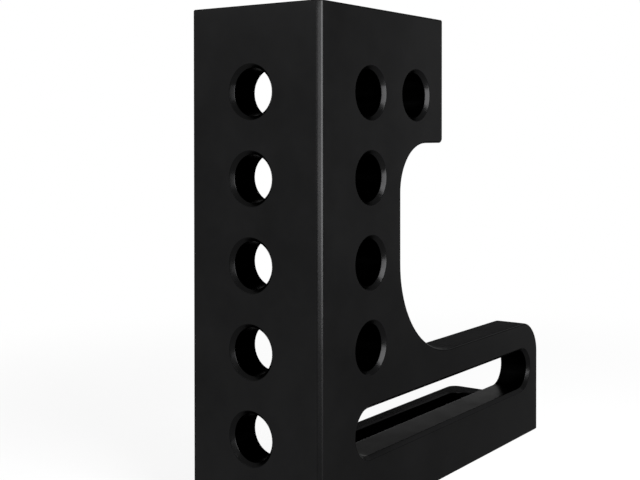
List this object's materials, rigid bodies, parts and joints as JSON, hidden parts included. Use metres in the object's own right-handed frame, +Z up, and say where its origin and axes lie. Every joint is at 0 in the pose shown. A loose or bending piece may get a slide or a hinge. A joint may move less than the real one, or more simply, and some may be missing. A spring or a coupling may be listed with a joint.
{
  "type": "angle plate",
  "caption": "Left-hand angle plate: a bored front plate and a notched web on a slotted base, for stopping and clamping work square to a welding table.",
  "frame": {"origin": "on the underside's plane, under the middle of the plate's length and width", "axes": "+X along the foot, away from the stop face; +Y across the plate, away from the web's outer face; +Z up"},
  "size_m": [0.275, 0.095, 0.3],
  "materials": {
    "black_iron": "blackened: smooth satin on the machined faces, slightly rough on the edges of the notch and foot"
  },
  "bodies": {
    "root": {"angle_plate": "black_iron"}
  },
  "joints": []
}
